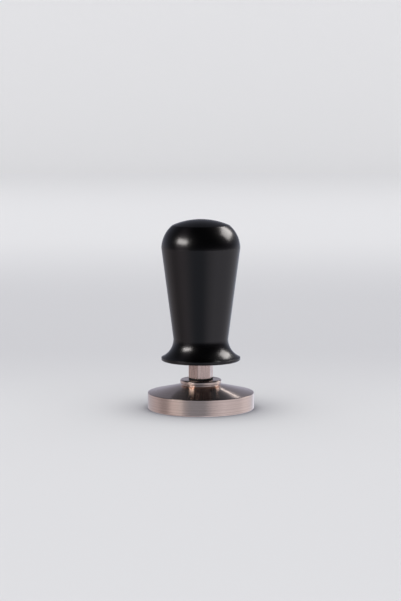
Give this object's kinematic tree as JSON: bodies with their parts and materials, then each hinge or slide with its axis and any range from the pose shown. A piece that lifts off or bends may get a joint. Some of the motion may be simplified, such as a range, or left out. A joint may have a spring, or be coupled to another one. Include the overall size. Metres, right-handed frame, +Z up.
{
  "type": "espresso tamper",
  "caption": "Calibrated espresso tamper: flat steel base on a hexagonal stem, and a waisted black handle that slides down on a spring to a stop.",
  "frame": {"origin": "centre of the flat tamping face on the underside of the base", "axes": "+Z up the tamper's axis, from the base to the crown of the handle; -Y towards the front"},
  "size_m": [0.058, 0.058, 0.1034],
  "materials": {
    "black_anodised": "satin black anodised aluminium",
    "turned_steel": "finely turned stainless steel",
    "drawn_steel": "matte cold-drawn stainless bar",
    "zinc_steel": "bright zinc plated steel",
    "spring_steel": "oiled spring steel",
    "black_rubber": "matte black rubber",
    "black_acetal": "machined black acetal",
    "brass": "machined brass"
  },
  "bodies": {
    "base_and_stem": {"tamping_base": "turned_steel", "base_stud": "zinc_steel", "stop_collar": "turned_steel", "stem_washer": "black_rubber", "hex_stem": "drawn_steel", "plunger": "zinc_steel", "lock_washer": "zinc_steel", "plunger_screw": "zinc_steel", "main_spring": "spring_steel"},
    "handle": {"handle_body": "black_anodised", "guide_bush": "black_acetal", "bush_dowel_right": "zinc_steel", "bush_dowel_left": "zinc_steel", "bush_circlip": "spring_steel", "rebound_bumper": "black_rubber", "upper_thrust_washer": "zinc_steel", "preload_nut": "brass", "jam_ring": "brass", "handle_cap": "black_anodised", "cap_o_ring": "black_rubber"}
  },
  "joints": [
    {"name": "handle_press", "type": "slide", "parent": "base_and_stem", "child": "handle", "axis": [0, 0, 1], "range_m": [-0.0095, 0], "stiffness_N_per_m": 10700, "springref_m": 0.0033, "deforming": ["main_spring"]}
  ]
}
